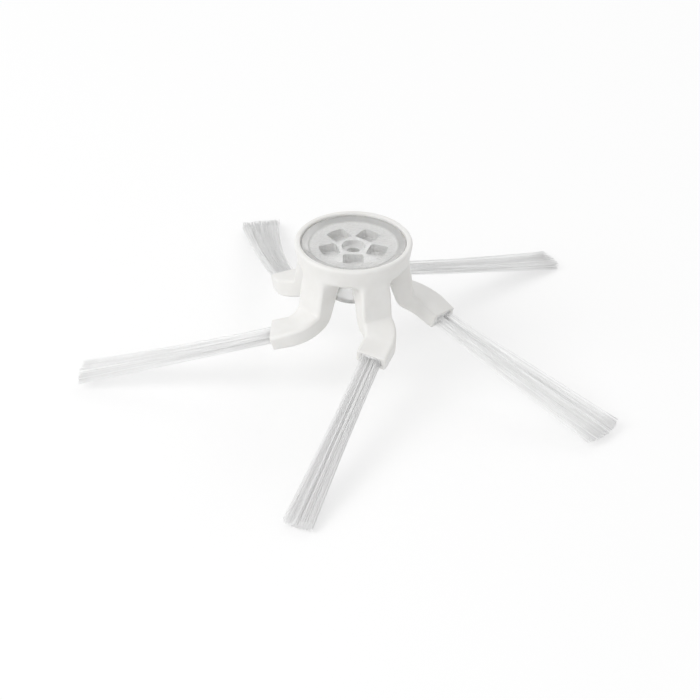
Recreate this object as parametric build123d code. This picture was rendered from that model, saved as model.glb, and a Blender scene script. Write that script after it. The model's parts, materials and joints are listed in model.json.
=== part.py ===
from build123d import *
from itertools import cycle
import math
import os

os.makedirs("parts", exist_ok=True)

# Layout: millimetres, +Z up along the hub axis, origin at the top of the screw hole
arm_count = 5
first_leg_angle = 7.0

# Hub ring
hub_diameter = 32.0
hub_height = 6.3
hub_draft = 10.0
lip_width = 1.8
lip_outer_break = 0.6
lip_inner_break = 0.3
hub_base_break = 0.5
shelf_thickness = 1.5

# Drive core
core_clearance = 0.05
core_step = 0.7
core_land = 0.6
dish_depth = 1.6
dish_floor_diameter = 22.6
boss_diameter = 14.0
boss_drop = 15.6
screw_hole_diameter = 3.4
screw_well_diameter = 6.2
screw_well_depth = 1.6
screw_recess_diameter = 7.4
screw_recess_depth = 5.2
pocket_turn = -25.0
pocket_width = 5.4
pocket_inner_radius = 4.3
pocket_outer_radius = 9.2
pocket_depth = 2.4
pocket_corner = 0.8

# Legs and feet of the arms
leg_width = 8.5
leg_lean = 8.0
leg_drop = 15.6
leg_boss_gap = 0.2
bend_thickness = 5.3
crease_overhang = 0.2
turn_angle = 49.0
turn_radius = 7.0
foot_straight = 4.6
foot_width = 8.6
foot_thickness = 4.4
foot_start_slope = 31.0
foot_end_slope = 17.5
foot_bank = 8.0
arm_edge_break = 0.6
leg_root_flare = 1.4

# Bristle sockets and tufts
socket_side_wall = 1.5
socket_roof = 0.7
socket_depth = 6.0
root_clearance = 0.05
root_recess = 0.4
tuft_length = 58.0
tuft_length_offsets = (-1.5, 1.7, 0.6, -2.9, 0.3)
tuft_tip_widths = (12.6, 8.8, 10.0, 8.8, 7.6)
tuft_sways = (5.4, 3.4, -2.7, 2.2, 4.1)
tuft_tip_thickness = 2.4
tuft_arch = 3.4
tip_bulge = 1.4
filament_size = 0.42
filament_columns = 8
filament_layers = 3
filament_runs = 2

# Derived places
hub_radius = hub_diameter / 2
dish_floor = screw_well_depth
lip_top = dish_floor + dish_depth
hub_bottom = lip_top - hub_height
hub_base_radius = hub_radius - hub_height * math.tan(math.radians(hub_draft))
shelf_top = hub_bottom + shelf_thickness
ring_bore_radius = hub_radius - lip_width
boss_radius = boss_diameter / 2
core_radius = ring_bore_radius - core_clearance
core_top = lip_top - core_step
boss_bottom = lip_top - boss_drop
crease_radius = hub_radius + crease_overhang
crease_height = lip_top - leg_drop
arm_angles = [first_leg_angle + 360 / arm_count * i for i in range(arm_count)]
turn_length = turn_radius * math.radians(turn_angle)
foot_length = turn_length + foot_straight
socket_width = foot_width - 2 * socket_side_wall
socket_height = foot_thickness - 2 * socket_roof


def nearest_corner(section, x, y):
    return section.vertices().sort_by_distance((x, y, 0))[0]


def hub_ring():
    # Drafted wall with a softened lip and an inner shelf at the base, turned about the hub axis
    outline = Polyline(
        (hub_radius, lip_top),
        (hub_base_radius, hub_bottom),
        (boss_radius + core_clearance, hub_bottom),
        (boss_radius + core_clearance, shelf_top),
        (ring_bore_radius, shelf_top),
        (ring_bore_radius, lip_top),
        close=True,
    )
    section = make_face(outline)
    section = chamfer(nearest_corner(section, hub_radius, lip_top), lip_outer_break)
    section = chamfer(nearest_corner(section, ring_bore_radius, lip_top), lip_inner_break)
    section = chamfer(nearest_corner(section, hub_base_radius, hub_bottom), hub_base_break)
    return revolve(Plane.XZ * section, Axis.Z)


def leg():
    # Side profile on +X: a leaning outer face down to the crease, an inner face that rounds under the bend
    lean = math.tan(math.radians(leg_lean))
    slope = math.radians(foot_start_slope)
    root_height = (hub_bottom + shelf_top) / 2
    crease = Vector(crease_radius, crease_height)
    root_outside = Vector(crease_radius - (root_height - crease_height) * lean, root_height)
    root_inside = Vector(boss_radius + leg_boss_gap, root_height)
    bend_end = crease - Vector(math.sin(slope), math.cos(slope)) * bend_thickness
    # The inner face meets the round of the bend without a corner
    reach = crease - root_inside
    inner_angle = math.atan2(reach.Y, reach.X) - math.asin(bend_thickness / reach.length)
    bend_start = crease + Vector(math.sin(inner_angle), -math.cos(inner_angle)) * bend_thickness
    bend_middle = crease + ((bend_start + bend_end) / 2 - crease).normalized() * bend_thickness
    outline = [
        Line(root_inside, bend_start),
        ThreePointArc(bend_start, bend_middle, bend_end),
        Line(bend_end, crease),
        Line(crease, root_outside),
        Line(root_outside, root_inside),
    ]
    body = extrude(Plane.XZ * make_face(outline), leg_width / 2, both=True)
    # Broken side edges, cut so that they meet those of the foot in the plane of the bend
    outer_face = body.faces().sort_by(Axis.X)[-1]
    outer_edges = outer_face.edges().filter_by(Axis.Y, reverse=True)
    mitre = math.sin(math.radians(leg_lean + foot_start_slope))
    body = chamfer(outer_edges, arm_edge_break, arm_edge_break * mitre, reference=outer_face)
    return chamfer(body.edges().filter_by(GeomType.CIRCLE), arm_edge_break)


def foot_section(travel):
    # Middle, width and thickness of the foot at a distance along it from the crease
    share = travel / foot_length
    turn = min(travel, turn_length) / turn_radius
    heading = Vector(math.cos(turn), -math.sin(turn))
    place = Vector(crease_radius + turn_radius * math.sin(turn), -turn_radius * (1 - math.cos(turn)))
    place += heading * max(travel - turn_length, 0)
    steep = math.tan(math.radians(foot_start_slope))
    gentle = math.tan(math.radians(foot_end_slope))
    drop = travel * (steep - share * (steep - gentle) / 2)
    run = Vector(heading.X, heading.Y, share * (steep - gentle) - steep)
    side = Vector(-heading.Y, heading.X)
    width = leg_width + share * (foot_width - leg_width)
    thickness = bend_thickness + share * (foot_thickness - bend_thickness)
    top = Plane(Vector(place.X, place.Y, crease_height - drop), x_dir=side, z_dir=run)
    return top * Rot(Z=-foot_bank * share) * Pos(Y=-thickness / 2), width, thickness


def foot_outline(travel):
    middle, width, thickness = foot_section(travel)
    outline = Rectangle(width, thickness)
    return middle * chamfer(outline.vertices(), arm_edge_break)


def foot():
    # Blend that turns, drops and banks from the bend, then a straight run to the hollow end
    turning = loft([foot_outline(travel) for travel in (0, turn_length / 2, turn_length)])
    straight = loft([foot_outline(turn_length), foot_outline(foot_length)], ruled=True)
    return turning + straight


def foot_end():
    return foot_section(foot_length)[0]


def arm():
    # Leg and foot in one, with the socket in the end
    socket = extrude(foot_end() * Rectangle(socket_width, socket_height), -socket_depth)
    return leg() + foot() - socket


def arm_ring():
    # Ring and arms in one, with the sides of the legs flared into the flat base of the ring
    first_arm = arm()
    ring = hub_ring() + [Rot(Z=angle) * first_arm for angle in arm_angles]
    base = ring.faces().filter_by(Axis.Z).sort_by(Axis.Z)[0]
    leg_sides = ShapeList()
    for angle in arm_angles:
        leg_sides += base.edges().filter_by(Axis.X.located(Rot(Z=angle)))
    return fillet(leg_sides, leg_root_flare)


def drive_pocket():
    # Straight-sided pocket with an arched outer end, on +X
    reach = pocket_outer_radius - pocket_inner_radius
    outline = Pos(X=pocket_inner_radius + reach / 2) * Rectangle(reach, pocket_width)
    outline &= Circle(pocket_outer_radius)
    outline = fillet(outline.vertices(), pocket_corner)
    return extrude(Pos(Z=dish_floor) * outline, -pocket_depth)


def drive_core():
    # Dished disc on the shelf of the ring, with a boss through it, drive pockets and a screw hole
    outline = Polyline(
        (0, dish_floor),
        (dish_floor_diameter / 2, dish_floor),
        (core_radius - core_land, core_top),
        (core_radius, core_top),
        (core_radius, shelf_top),
        (boss_radius, shelf_top),
        (boss_radius, boss_bottom),
        (0, boss_bottom),
        close=True,
    )
    core = revolve(Plane.XZ * make_face(outline), Axis.Z)
    pocket = drive_pocket()
    core -= [Rot(Z=angle + pocket_turn) * pocket for angle in arm_angles]
    core -= extrude(Circle(screw_well_diameter / 2), screw_well_depth)
    core -= Pos(Z=boss_bottom) * extrude(Circle(screw_recess_diameter / 2), screw_recess_depth)
    core -= Cylinder(screw_hole_diameter / 2, 2 * boss_drop)
    return core


def filament(root, tip, length):
    # One bristle as a thin strip that arches in even runs from root to tip, in the foot end's frame
    yaw = math.atan2(tip.X - root.X, length)
    spread = (tip.Y - root.Y) / length
    arch = math.radians(tuft_arch) / length
    start = Vector(root.X, root.Y, -root_recess - filament_size)
    base = Plane(start, x_dir=(math.sin(yaw), 0, math.cos(yaw)), z_dir=(-math.cos(yaw), 0, math.sin(yaw)))
    half = filament_size / 2
    full_length = length + root_recess + filament_size
    stations = [full_length * i / filament_runs for i in range(filament_runs + 1)]
    middle = [Vector(x, spread * x + arch * x * x / 2) for x in stations]
    under = [point - Vector(0, half) for point in middle]
    over = [point + Vector(0, half) for point in reversed(middle)]
    return extrude(base * make_face(Polyline(*under, *over, close=True)), half, both=True)


def bristle_tuft(bundle_length, tip_width, sway):
    # Root block in the socket and a fan of bristles that levels out to its tips, in the foot end's frame
    root_width = socket_width - 2 * root_clearance
    root_height = socket_height - 2 * root_clearance
    block = extrude(Pos(Z=-root_recess) * Rectangle(root_width, root_height), root_recess - socket_depth)
    bank = math.radians(foot_bank)
    level = Vector(math.cos(bank), math.sin(bank))
    upright = Vector(-math.sin(bank), math.cos(bank))
    drift = bundle_length * math.tan(math.radians(sway))
    bristles = []
    for layer in range(filament_layers):
        rise = layer / (filament_layers - 1) - 1 / 2
        shift = layer % 2
        for column in range(filament_columns):
            reach = (2 * column + shift) / (2 * filament_columns - 1) - 1 / 2
            root = Vector(reach * (root_width - 2 * filament_size), rise * (root_height - 2 * filament_size))
            tip = level * (reach * (tip_width - filament_size) + drift)
            tip += upright * (rise * (tuft_tip_thickness - filament_size))
            length = bundle_length - tip_bulge * (2 * reach) ** 2
            bristles.append(filament(root, tip, length))
    return block + bristles


export_step(arm_ring(), "parts/arm_ring.step")
export_step(drive_core(), "parts/drive_core.step")
tuft_sets = zip(arm_angles, cycle(tuft_length_offsets), cycle(tuft_tip_widths), cycle(tuft_sways))
for number, (angle, length_offset, tip_width, sway) in enumerate(tuft_sets, start=1):
    tuft = Rot(Z=angle) * (foot_end() * bristle_tuft(tuft_length + length_offset, tip_width, sway))
    export_step(tuft, f"parts/bristle_tuft_{number}.step")
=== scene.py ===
import json
import math
import random

import bmesh
import bpy
import numpy as np
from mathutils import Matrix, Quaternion, Vector


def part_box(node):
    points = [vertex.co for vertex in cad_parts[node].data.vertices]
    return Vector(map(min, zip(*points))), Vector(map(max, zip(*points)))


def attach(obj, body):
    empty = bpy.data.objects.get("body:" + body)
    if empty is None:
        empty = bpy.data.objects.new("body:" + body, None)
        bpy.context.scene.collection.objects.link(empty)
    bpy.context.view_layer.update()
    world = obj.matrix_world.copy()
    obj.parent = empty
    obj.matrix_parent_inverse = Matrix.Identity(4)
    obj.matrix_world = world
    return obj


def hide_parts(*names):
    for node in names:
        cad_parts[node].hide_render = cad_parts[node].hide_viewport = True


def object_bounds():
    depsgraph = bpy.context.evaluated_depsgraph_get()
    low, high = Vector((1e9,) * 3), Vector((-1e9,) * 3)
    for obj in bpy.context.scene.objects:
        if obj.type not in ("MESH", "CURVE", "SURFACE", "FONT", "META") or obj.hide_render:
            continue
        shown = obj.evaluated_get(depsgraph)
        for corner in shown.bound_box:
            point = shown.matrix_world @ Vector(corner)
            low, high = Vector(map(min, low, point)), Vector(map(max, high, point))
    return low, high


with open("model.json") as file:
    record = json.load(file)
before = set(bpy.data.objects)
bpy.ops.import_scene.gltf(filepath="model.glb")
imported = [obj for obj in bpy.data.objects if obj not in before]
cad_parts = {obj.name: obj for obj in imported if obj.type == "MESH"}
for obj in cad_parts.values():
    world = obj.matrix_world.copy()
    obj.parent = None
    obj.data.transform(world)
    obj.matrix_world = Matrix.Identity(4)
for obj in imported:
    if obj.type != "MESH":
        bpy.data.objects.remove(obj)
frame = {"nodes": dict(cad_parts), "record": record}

scene = bpy.context.scene
scene.view_settings.view_transform = "Standard"
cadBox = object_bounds()
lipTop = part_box("arm_ring")[1].z
floorHeight = cadBox[0].z  # the brush stands on the lowest bristle tips
dishFloor = frame["record"]["mounts"][1]["pos_m"][2]  # the drive pockets open here
mm = 0.001
joinWithin = 0.001 * mm  # the faces of the solids come unjoined
print("frame: %d solids" % len(frame["nodes"]))


# Node helpers

def newMaterial(name):
    material = bpy.data.materials.new(name)
    material.use_nodes = True
    return material, material.node_tree, material.node_tree.nodes["Principled BSDF"]


def addNode(tree, kind, values=None, **settings):
    made = tree.nodes.new(kind)
    for key, value in settings.items():
        setattr(made, key, value)
    for key, value in (values or {}).items():
        made.inputs[key].default_value = value
    return made


def setShader(shader, values):
    for key, value in values.items():
        shader.inputs[key].default_value = value


def noise(tree, size, detail):
    # grain of about this size in metres, in the part's own coordinates
    coords = addNode(tree, "ShaderNodeTexCoord")
    grain = addNode(tree, "ShaderNodeTexNoise", {"Scale": 1 / size, "Detail": detail})
    tree.links.new(coords.outputs["Object"], grain.inputs["Vector"])
    return grain.outputs["Fac"]


def spread(tree, source, low, high, sourceLow=0.3, sourceHigh=0.7):
    # most noise lies between the two source values
    ranged = addNode(tree, "ShaderNodeMapRange", {
        "From Min": sourceLow, "From Max": sourceHigh, "To Min": low, "To Max": high})
    tree.links.new(source, ranged.inputs["Value"])
    return ranged.outputs["Result"]


def heightRange(tree, low, high):
    # 0 at the first height, 1 at the second
    coords = addNode(tree, "ShaderNodeTexCoord")
    axes = addNode(tree, "ShaderNodeSeparateXYZ")
    tree.links.new(coords.outputs["Object"], axes.inputs[0])
    return spread(tree, axes.outputs["Z"], 0, 1, low, high)


def colourRamp(tree, source, stops):
    ramp = addNode(tree, "ShaderNodeValToRGB")
    tree.links.new(source, ramp.inputs["Fac"])
    while len(ramp.color_ramp.elements) < len(stops):
        ramp.color_ramp.elements.new(0.5)
    for element, (place, colour) in zip(ramp.color_ramp.elements, stops):
        element.position = place
        element.color = (*colour, 1)
    return ramp.outputs["Color"]


def twoTone(tree, source, look):
    return colourRamp(tree, source, list(zip(look["toneSpan"], (look["deep"], look["pale"]))))


def bump(tree, shader, source, height, strength):
    made = addNode(tree, "ShaderNodeBump", {"Distance": height, "Strength": strength})
    tree.links.new(source, made.inputs["Height"])
    tree.links.new(made.outputs["Normal"], shader.inputs["Normal"])


# Soft white of the ring and arms

softWhite = {
    "pale": (0.858, 0.852, 0.834),
    "deep": (0.820, 0.812, 0.790),  # faint clouding of the moulding
    "toneSpan": (0.35, 0.65),  # noise levels of the deep and the pale tone
    "cloudSize": 6 * mm,
    "cloudDetail": 4,
    "grainSize": 0.28 * mm,
    "grainDetail": 2,
    "grainHeight": 0.012 * mm,
    "grainStrength": 0.35,
    "roughness": (0.42, 0.58),
    "shader": {"IOR": 1.46, "Subsurface Weight": 0.12, "Subsurface Scale": 0.9 * mm,
               "Subsurface Radius": (1.0, 0.95, 0.85)},
}


def softWhiteFinish():
    look = softWhite
    material, tree, shader = newMaterial("softWhite")
    cloud = noise(tree, look["cloudSize"], look["cloudDetail"])
    grain = noise(tree, look["grainSize"], look["grainDetail"])
    tree.links.new(twoTone(tree, cloud, look), shader.inputs["Base Color"])
    tree.links.new(spread(tree, grain, *look["roughness"]), shader.inputs["Roughness"])
    bump(tree, shader, grain, look["grainHeight"], look["grainStrength"])
    setShader(shader, look["shader"])
    return material


# Clear plastic of the drive core: a frosted floor, a smooth rim and boss

clearPlastic = {
    "pale": (0.99, 0.99, 0.985),
    "deep": (0.955, 0.955, 0.95),
    "toneSpan": (0.3, 0.7),
    "cloudSize": 1.8 * mm,
    "cloudDetail": 4,
    "frostSize": 0.8 * mm,
    "frostDetail": 2,
    "frostHeight": 0.36 * mm,
    "frostStrength": 1,
    "frostSpan": (0, 0.7),  # noise levels of the smoothest and the roughest spots
    "roughness": (0.03, 0.18),
    "floorClear": 0.42,  # transmission of the frosted floor
    "rimClear": 0.7,  # and of the rim and boss
    "rimStart": (0.1 * mm, 0.35 * mm),  # above the floor
    "bossFade": 0.6 * mm,  # the frost comes in over this height above the boss
    "shader": {"IOR": 1.49, "Specular IOR Level": 0.9},
}


def frostMask(tree, look):
    # 1 from the top of the boss to the dish floor, 0 on the boss and the rim
    low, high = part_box("drive_core")[0].z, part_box("drive_core")[1].z
    bossTop = ringBase()
    rimLow, rimHigh = (dishFloor + above for above in look["rimStart"])
    stops = [(bossTop, 0), (bossTop + look["bossFade"], 1), (rimLow, 1), (rimHigh, 0)]
    shares = [((height - low) / (high - low), (share,) * 3) for height, share in stops]
    return colourRamp(tree, heightRange(tree, low, high), shares)


def clearPlasticFinish():
    look = clearPlastic
    material, tree, shader = newMaterial("clearPlastic")
    cloud = noise(tree, look["cloudSize"], look["cloudDetail"])
    frost = noise(tree, look["frostSize"], look["frostDetail"])
    mask = frostMask(tree, look)
    product = addNode(tree, "ShaderNodeMath", operation="MULTIPLY")
    tree.links.new(frost, product.inputs[0])
    tree.links.new(mask, product.inputs[1])
    frosted = product.outputs[0]
    clear = spread(tree, mask, look["rimClear"], look["floorClear"], 0, 1)
    rough = spread(tree, frosted, *look["roughness"], *look["frostSpan"])
    tree.links.new(twoTone(tree, cloud, look), shader.inputs["Base Color"])
    tree.links.new(rough, shader.inputs["Roughness"])
    tree.links.new(clear, shader.inputs["Transmission Weight"])
    bump(tree, shader, frosted, look["frostHeight"], look["frostStrength"])
    setShader(shader, look["shader"])
    return material


# Nylon of the bristles

nylon = {
    "pale": (0.99, 0.99, 0.985),
    "deep": (0.91, 0.915, 0.915),
    "toneSpan": (0.0, 0.3),  # up to this share of the filaments are darker
    "streakSize": 1.1 * mm,
    "streakDetail": 2,
    "streakHeight": 0.01 * mm,
    "streakStrength": 0.3,
    "roughness": (0.08, 0.24),
    "shader": {"IOR": 1.5, "Specular IOR Level": 0.7, "Sheen Weight": 0.4, "Sheen Roughness": 0.4,
               "Subsurface Weight": 1.0, "Subsurface Scale": 0.2 * mm, "Subsurface Radius": (1, 1, 1)},
}


def nylonFinish():
    look = nylon
    material, tree, shader = newMaterial("nylon")
    strand = addNode(tree, "ShaderNodeNewGeometry").outputs["Random Per Island"]
    streak = noise(tree, look["streakSize"], look["streakDetail"])
    tree.links.new(twoTone(tree, strand, look), shader.inputs["Base Color"])
    tree.links.new(spread(tree, streak, *look["roughness"]), shader.inputs["Roughness"])
    bump(tree, shader, streak, look["streakHeight"], look["streakStrength"])
    setShader(shader, look["shader"])
    return material


def dress(piece, material, node):
    piece.data.materials.clear()
    piece.data.materials.append(material)
    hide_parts(node)
    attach(piece, "root")


# Mouldings: copies of the solids with the soft edges of a moulding

def weldedCopy(name, node):
    piece = bpy.data.objects.new(name, frame["nodes"][node].data.copy())
    scene.collection.objects.link(piece)
    cage = bmesh.new()
    cage.from_mesh(piece.data)
    bmesh.ops.remove_doubles(cage, verts=cage.verts, dist=joinWithin)
    return piece, cage


def keepMesh(cage, piece):
    cage.to_mesh(piece.data)
    cage.free()


def applyModifiers(piece):
    evaluated = piece.evaluated_get(bpy.context.evaluated_depsgraph_get())
    finished = bpy.data.meshes.new_from_object(evaluated)
    piece.modifiers.clear()
    piece.data = finished


def solidPoints(node):
    return np.array([vertex.co for vertex in frame["nodes"][node].data.vertices])


def ringBase():
    # height of the ring's flat base, at the edge of its hole for the boss
    endBand, holeRoom = 0.01 * mm, 1.02  # the boss's lowest points, and a little room round it
    core, ring = solidPoints("drive_core"), solidPoints("arm_ring")
    bossEnd = core[core[:, 2] < core[:, 2].min() + endBand]
    bossRadius = np.hypot(bossEnd[:, 0], bossEnd[:, 1]).max()
    holeEdge = ring[np.hypot(ring[:, 0], ring[:, 1]) < bossRadius * holeRoom]
    return holeEdge[:, 2].min()


armRing = {
    "skin": 0.21 * mm,
    "softening": 9,
    "keptFaces": 0.42,
    "blends": ((2.6 * mm, 30), (1.8 * mm, 30), (1.1 * mm, 20)),  # reach from the ring's base, passes
    "blendStep": 0.5,
    "blendOutside": 0.8,  # share of the core's radius
}


def blendLegs(piece, look):
    # the wall of the ring runs down into the legs in a soft round
    skin = bmesh.new()
    skin.from_mesh(piece.data)
    base, outside = ringBase(), look["blendOutside"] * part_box("drive_core")[1].x
    for reach, passes in look["blends"]:
        near = [v for v in skin.verts if abs(v.co.z - base) < reach and v.co.xy.length > outside]
        for i in range(passes):
            bmesh.ops.smooth_vert(skin, verts=near, factor=look["blendStep"],
                                  use_axis_x=True, use_axis_y=True, use_axis_z=True)
    keepMesh(skin, piece)


def softMoulding(name, node, look):
    piece, cage = weldedCopy(name, node)
    keepMesh(cage, piece)
    skin = piece.modifiers.new("skin", "REMESH")
    skin.voxel_size = look["skin"]
    applyModifiers(piece)
    blendLegs(piece, look)
    soften = piece.modifiers.new("soften", "SMOOTH")
    soften.iterations = look["softening"]
    thin = piece.modifiers.new("thin", "DECIMATE")
    thin.ratio = look["keptFaces"]
    applyModifiers(piece)
    piece.data.shade_smooth()
    print("%s: %d faces" % (name, len(piece.data.polygons)))
    return piece


driveCore = {
    "flatWithin": 1.0,  # degrees
    "edgeFrom": 35.0,  # degrees
    "edgeRound": 0.22 * mm,
    "edgeFaces": 3,
    "edgeProfile": 0.5,
}


def clearMoulding(name, node, look):
    piece, cage = weldedCopy(name, node)
    bmesh.ops.dissolve_limit(cage, angle_limit=math.radians(look["flatWithin"]),
                             verts=cage.verts, edges=cage.edges)
    sharpFrom = math.radians(look["edgeFrom"])
    sharp = [edge for edge in cage.edges if edge.calc_face_angle(0) > sharpFrom]
    bmesh.ops.bevel(cage, geom=sharp, offset=look["edgeRound"], segments=look["edgeFaces"],
                    profile=look["edgeProfile"], affect="EDGES", clamp_overlap=True)
    bmesh.ops.triangulate(cage, faces=cage.faces)
    keepMesh(cage, piece)
    piece.data.shade_smooth()
    piece.modifiers.new("evenShading", "WEIGHTED_NORMAL")
    applyModifiers(piece)
    print("%s: %d faces" % (name, len(piece.data.polygons)))
    return piece


# Bristle tufts: fine filaments through the root, waist and tip of each solid tuft

tufts = {
    "columns": 36,
    "filament": 0.15 * mm,  # diameter
    "strand": (1.35, 0.7),  # shares of it across and through the tuft
    "rootSwell": 0.8,  # and at the root
    "sides": 6,
    "runs": 12,
    "bands": {"root": (0.05, 0.2), "waist": (0.4, 0.7), "tip": (0.85, 1.01)},  # along the solid
    "flatter": {"waist": 0.85, "tip": 0.8},  # share of the solid's thickness
    "inset": 1.5,  # radii that stay free at the sides of the root
    "firstColumn": 0.25,  # of the room that each filament has
    "jitter": 0.35,  # of the same room
    "stray": 0.009,  # share of the fan by which a tip leaves its place
    "clumps": 17,
    "clumping": 0.03,
    "wave": 0.04 * mm,
    "waveRise": 0.5,  # share of the wave that goes up and down
    "waveTurns": (0.7, 2.0),
    "unevenEnds": 0.001,  # share of the length
    "held": 0.02,  # share of the length inside the socket
    "plug": 4.8 * mm,  # depth of the bonded root
    "plugProud": 0.33 * mm,  # up to the mouth of the socket
    "plugFit": 0.98,
    "seed": 11,
    # reach, fan, waist and endArc are shares of the solid's length, widths and rounded end
    "usual": {"layers": 2, "tipSwell": 0.95, "reach": 0.992, "fan": 1, "waist": 1,
              "endArc": 0.35, "bow": 0},
    "own": {  # where a tuft differs from the usual
        "bristle_tuft_1": {"tipSwell": 1.3, "reach": 0.988, "waist": 1.1, "endArc": 0.85},
        "bristle_tuft_3": {"layers": 4, "fan": 1.15, "bow": 1.3 * mm},
        "bristle_tuft_4": {"fan": 1.25, "waist": 1.08},
        "bristle_tuft_5": {"layers": 3, "reach": 0.988, "fan": 1.12},
    },
}


def unit(vector):
    return vector / np.linalg.norm(vector)


def tuftStation(points, axis, low, high):
    # one cross-section of the solid: middle, half width, half thickness and the arc of its end
    along = points @ axis
    share = (along - along.min()) / np.ptp(along)
    band = points[(share > low) & (share < high)]
    middle = band.mean(axis=0)
    across = np.linalg.svd(band - middle, full_matrices=False)[2][0]
    across *= np.sign(np.dot(across, np.cross((0, 0, 1), axis)))
    up = unit(np.cross(axis, across))
    places = (band - middle) @ np.array([across, up, axis]).T
    centre = (places.max(axis=0) + places.min(axis=0)) / 2
    half = np.ptp(places, axis=0) / 2
    arc = np.polyfit((places[:, 0] - centre[0]) / half[0], places[:, 2], 2)
    return {"middle": middle + across * centre[0] + up * centre[1],
            "across": across * half[0], "up": up * half[1], "axis": axis, "arc": arc}


def stationPoint(station, u, v):
    return (station["middle"] + station["across"] * u + station["up"] * v
            + station["axis"] * np.polyval(station["arc"], u))


def tuftStations(node, look):
    points = solidPoints(node)
    middle = points.mean(axis=0)
    axis = np.linalg.svd(points - middle, full_matrices=False)[2][0]
    axis *= np.sign(np.dot(axis[:2], middle[:2]))  # away from the hub
    root, waist, tip = (tuftStation(points, axis, *band) for band in tufts["bands"].values())
    side, rise = unit(waist["across"]), unit(waist["up"])
    waist["middle"] = waist["middle"] + side * look["bow"]
    waist["across"] = waist["across"] * look["waist"]
    waist["up"] = waist["up"] * tufts["flatter"]["waist"]
    tip["middle"] = tip["middle"] - tip["up"] * (1 - tufts["flatter"]["tip"])  # stays on the floor
    tip["across"] = tip["across"] * look["fan"]
    tip["up"] = tip["up"] * tufts["flatter"]["tip"]
    tip["arc"] = tip["arc"] * (look["endArc"], look["endArc"], 1)
    return root, waist, tip, side, rise


def addTube(points, side, rise, radii, verts, faces):
    sides = tufts["sides"]
    first = len(verts)
    for point, radius in zip(points, radii):
        for i in range(sides):
            turn = 2 * math.pi * i / sides
            verts.append(point + radius * (math.cos(turn) * side + math.sin(turn) * rise))
    for ring in range(len(points) - 1):
        start = first + ring * sides
        for i in range(sides):
            j = (i + 1) % sides
            faces.append((start + i, start + j, start + sides + j, start + sides + i))
    last = first + (len(points) - 1) * sides
    faces.append(tuple(range(first + sides - 1, first - 1, -1)))
    faces.append(tuple(range(last, last + sides)))


def addPlug(station, verts, faces):
    # the bonded root of the tuft, inside the socket
    first, fit = len(verts), tufts["plugFit"]
    for depth in (-tufts["plug"], tufts["plugProud"]):
        for u, v in ((-1, -1), (1, -1), (1, 1), (-1, 1)):
            verts.append(station["middle"] + station["across"] * u * fit + station["up"] * v * fit
                         + station["axis"] * depth)
    corners = ((3, 2, 1, 0), (4, 5, 6, 7), (0, 1, 5, 4), (1, 2, 6, 5), (2, 3, 7, 6), (3, 0, 4, 7))
    faces.extend(tuple(first + i for i in corner) for corner in corners)


def filamentPath(start, halfway, end, length, phase, turns, side, rise):
    # a smooth curve through the three stations, with a slight wave
    path, held = [], tufts["held"]
    swing = side * math.cos(phase) + tufts["waveRise"] * rise * math.sin(phase)
    for i in range(tufts["runs"] + 1):
        s = length * (i / tufts["runs"] * (1 + held) - held)
        place = start * (1 - s) * (1 - 2 * s) + halfway * 4 * s * (1 - s) + end * s * (2 * s - 1)
        wave = tufts["wave"] * math.sin(math.pi * s) * math.sin(2 * math.pi * turns * s + phase)
        path.append(place + wave * swing)
    return path


def bristleTuft(node):
    look = {**tufts["usual"], **tufts["own"].get(node, {})}
    chance = random.Random(tufts["seed"] + int(node[-1]))
    root, waist, tip, side, rise = tuftStations(node, look)
    columns, layers = tufts["columns"], look["layers"]
    radius = tufts["filament"] / 2
    radii = radius * np.linspace(tufts["rootSwell"], look["tipSwell"], tufts["runs"] + 1)
    wide, deep = side * tufts["strand"][0], rise * tufts["strand"][1]
    edge = 1 - tufts["inset"] * radius / np.linalg.norm(root["across"])
    brim = 1 - tufts["inset"] * radius / np.linalg.norm(root["up"])
    clumps = [2 * (i + chance.random()) / tufts["clumps"] - 1 for i in range(tufts["clumps"])]
    verts, faces = [], []
    addPlug(root, verts, faces)
    for layer in range(layers):
        shift = tufts["firstColumn"] + layer % 2 / 2  # each layer lies in the gaps of the last
        for column in range(columns):
            jitter = chance.uniform(-0.5, 0.5) * tufts["jitter"]
            u = edge * (2 * (column + shift + jitter) / columns - 1)
            v = brim * (2 * (layer + chance.random()) / layers - 1)
            clump = min(clumps, key=lambda place: abs(place - u))
            tipU = u + tufts["clumping"] * (clump - u) + chance.gauss(0, tufts["stray"])
            tipV = v + chance.gauss(0, 2 * tufts["stray"])
            tipU, tipV = max(-edge, min(edge, tipU)), max(-brim, min(brim, tipV))
            phase, turns = chance.uniform(0, 2 * math.pi), chance.uniform(*tufts["waveTurns"])
            length = look["reach"] - abs(chance.gauss(0, tufts["unevenEnds"]))
            halfway = stationPoint(waist, (u + tipU) / 2, (v + tipV) / 2)
            path = filamentPath(stationPoint(root, u, v), halfway, stationPoint(tip, tipU, tipV),
                                length, phase, turns, side, rise)
            addTube(path, wide, deep, radii, verts, faces)
    mesh = bpy.data.meshes.new(node + "_filaments")
    mesh.from_pydata([tuple(vert) for vert in verts], [], faces)
    mesh.shade_smooth()
    piece = bpy.data.objects.new(node + "_filaments", mesh)
    scene.collection.objects.link(piece)
    print("%s: %d filaments, %d faces" % (piece.name, layers * columns, len(faces)))
    return piece


softWhiteMaterial = softWhiteFinish()
clearPlasticMaterial = clearPlasticFinish()
nylonMaterial = nylonFinish()
ringPiece = softMoulding("arm_ring_moulding", "arm_ring", armRing)
corePiece = clearMoulding("drive_core_moulding", "drive_core", driveCore)
dress(ringPiece, softWhiteMaterial, "arm_ring")
dress(corePiece, clearPlasticMaterial, "drive_core")
for node in sorted(frame["nodes"]):
    if node.startswith("bristle_tuft"):
        dress(bristleTuft(node), nylonMaterial, node)


# Floor, light and camera

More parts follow.
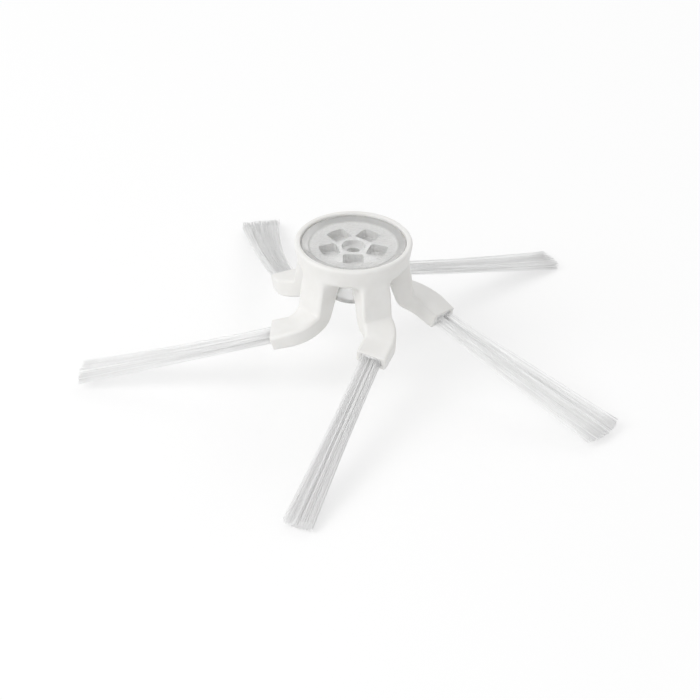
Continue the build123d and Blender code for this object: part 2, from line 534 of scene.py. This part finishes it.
studio = {
    "floorRadius": 3.0,
    "floorSides": 96,
    "floorColour": 0.93,  # what lights the brush from below
    "floorSeen": 0.5,  # what the camera sees of it, with a lift to white
    "floorLift": 0.52,
    "skyLight": 0.64,
    "lamps": {  # place, size, power
        "keyLamp": ((-0.72, -0.40, 0.70), 0.7, 4.8),
        "frontLamp": ((-0.15, -0.95, 0.30), 0.6, 0.45),
        "backLamp": ((0.35, 0.75, 0.55), 0.5, 1.2),
    },
}

photoView = {
    "elevation": 31.6,  # degrees
    "distance": 825.6 * mm,  # from the eye to the middle of the lip
    "aimSide": -0.56 * mm,
    "aimDrop": 35.12 * mm,  # the picture's middle is this far under the lip
    "lens": 158.9,
    "roll": 0.013,  # radians
    "farEnd": 20,
}


def seenDirectly(tree):
    # 1 for what the camera sees, also through clear plastic and in gloss
    paths = addNode(tree, "ShaderNodeLightPath")
    first = addNode(tree, "ShaderNodeMath", operation="MAXIMUM")
    second = addNode(tree, "ShaderNodeMath", operation="MAXIMUM")
    tree.links.new(paths.outputs["Is Camera Ray"], first.inputs[0])
    tree.links.new(paths.outputs["Is Glossy Ray"], first.inputs[1])
    tree.links.new(first.outputs[0], second.inputs[0])
    tree.links.new(paths.outputs["Is Transmission Ray"], second.inputs[1])
    return second.outputs[0]


def floorPaper():
    material = bpy.data.materials.new("floorPaper")
    material.use_nodes = True
    tree = material.node_tree
    tree.nodes.clear()
    paper = addNode(tree, "ShaderNodeBsdfDiffuse")
    lift = addNode(tree, "ShaderNodeEmission")
    both = addNode(tree, "ShaderNodeAddShader")
    output = addNode(tree, "ShaderNodeOutputMaterial")
    seen = seenDirectly(tree)
    tone = spread(tree, seen, studio["floorColour"], studio["floorSeen"], 0, 1)
    tree.links.new(tone, paper.inputs["Color"])
    tree.links.new(spread(tree, seen, 0, studio["floorLift"], 0, 1), lift.inputs["Strength"])
    tree.links.new(paper.outputs[0], both.inputs[0])
    tree.links.new(lift.outputs[0], both.inputs[1])
    tree.links.new(both.outputs[0], output.inputs["Surface"])
    return material


def buildFloor():
    disc = bmesh.new()
    bmesh.ops.create_circle(disc, cap_ends=True, segments=studio["floorSides"],
                            radius=studio["floorRadius"])
    mesh = bpy.data.meshes.new("floor")
    disc.to_mesh(mesh)
    disc.free()
    mesh.materials.append(floorPaper())
    floor = bpy.data.objects.new("floor", mesh)
    floor.location.z = floorHeight
    scene.collection.objects.link(floor)


def buildSky():
    world = bpy.data.worlds.new("studioSky")
    world.use_nodes = True
    tree = world.node_tree
    sky = tree.nodes["Background"]
    sky.inputs["Color"].default_value = (1, 1, 1, 1)
    strength = spread(tree, seenDirectly(tree), studio["skyLight"], 1, 0, 1)
    tree.links.new(strength, sky.inputs["Strength"])
    scene.world = world


def addLamp(name, place, size, power):
    lamp = bpy.data.lights.new(name, "AREA")
    lamp.size = size
    lamp.energy = power
    holder = bpy.data.objects.new(name, lamp)
    holder.location = place
    holder.rotation_mode = "QUATERNION"
    holder.rotation_quaternion = (-Vector(place)).to_track_quat("-Z", "Y")
    scene.collection.objects.link(holder)


def buildCamera():
    view = photoView
    tilt = math.radians(view["elevation"])
    back, above = view["distance"] * math.cos(tilt), view["distance"] * math.sin(tilt)
    eye = Vector((0, -back, above + lipTop))
    aim = Vector((view["aimSide"], 0, lipTop - view["aimDrop"]))
    facing = (aim - eye).to_track_quat("-Z", "Y")
    camera = bpy.data.objects.new("camera", bpy.data.cameras.new("camera"))
    camera.data.lens = view["lens"]
    camera.data.clip_end = view["farEnd"]
    camera.location = eye
    camera.rotation_mode = "QUATERNION"
    camera.rotation_quaternion = facing @ Quaternion((0, 0, 1), view["roll"])
    scene.collection.objects.link(camera)
    scene.camera = camera


buildFloor()
buildSky()
for name, lamp in studio["lamps"].items():
    addLamp(name, *lamp)
buildCamera()
print("studio: floor, sky, %d lamps and camera" % len(studio["lamps"]))
